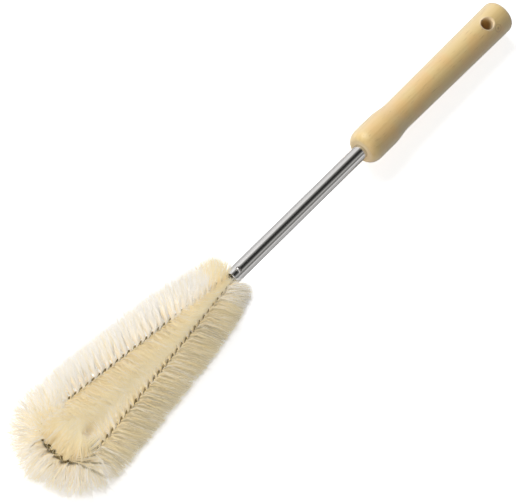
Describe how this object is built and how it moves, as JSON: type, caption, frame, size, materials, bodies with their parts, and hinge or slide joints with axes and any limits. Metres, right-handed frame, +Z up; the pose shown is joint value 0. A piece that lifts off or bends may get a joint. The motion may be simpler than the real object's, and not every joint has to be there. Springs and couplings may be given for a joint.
{
  "type": "bottle brush",
  "caption": "Long bottle brush: a turned wooden handle, a steel tube and a loop of twisted wire full of soft pale bristles.",
  "frame": {"origin": "middle of the lying brush's box, on the surface that it lies on", "axes": "+X from the handle towards the head, +Z up; the head's loop lies nearly level, with one arm on each side of the XZ plane"},
  "size_m": [0.457, 0.0782, 0.0478],
  "materials": {
    "handle_wood": "smooth pale beech, thinly varnished",
    "tube_steel": "polished",
    "wire_steel": "galvanised, dull",
    "bristle": "soft natural hair, cream white"
  },
  "bodies": {
    "root": {"handle": "handle_wood", "tube": "tube_steel", "core_wire_a": "wire_steel", "core_wire_b": "wire_steel", "bristles": "bristle"}
  },
  "joints": []
}
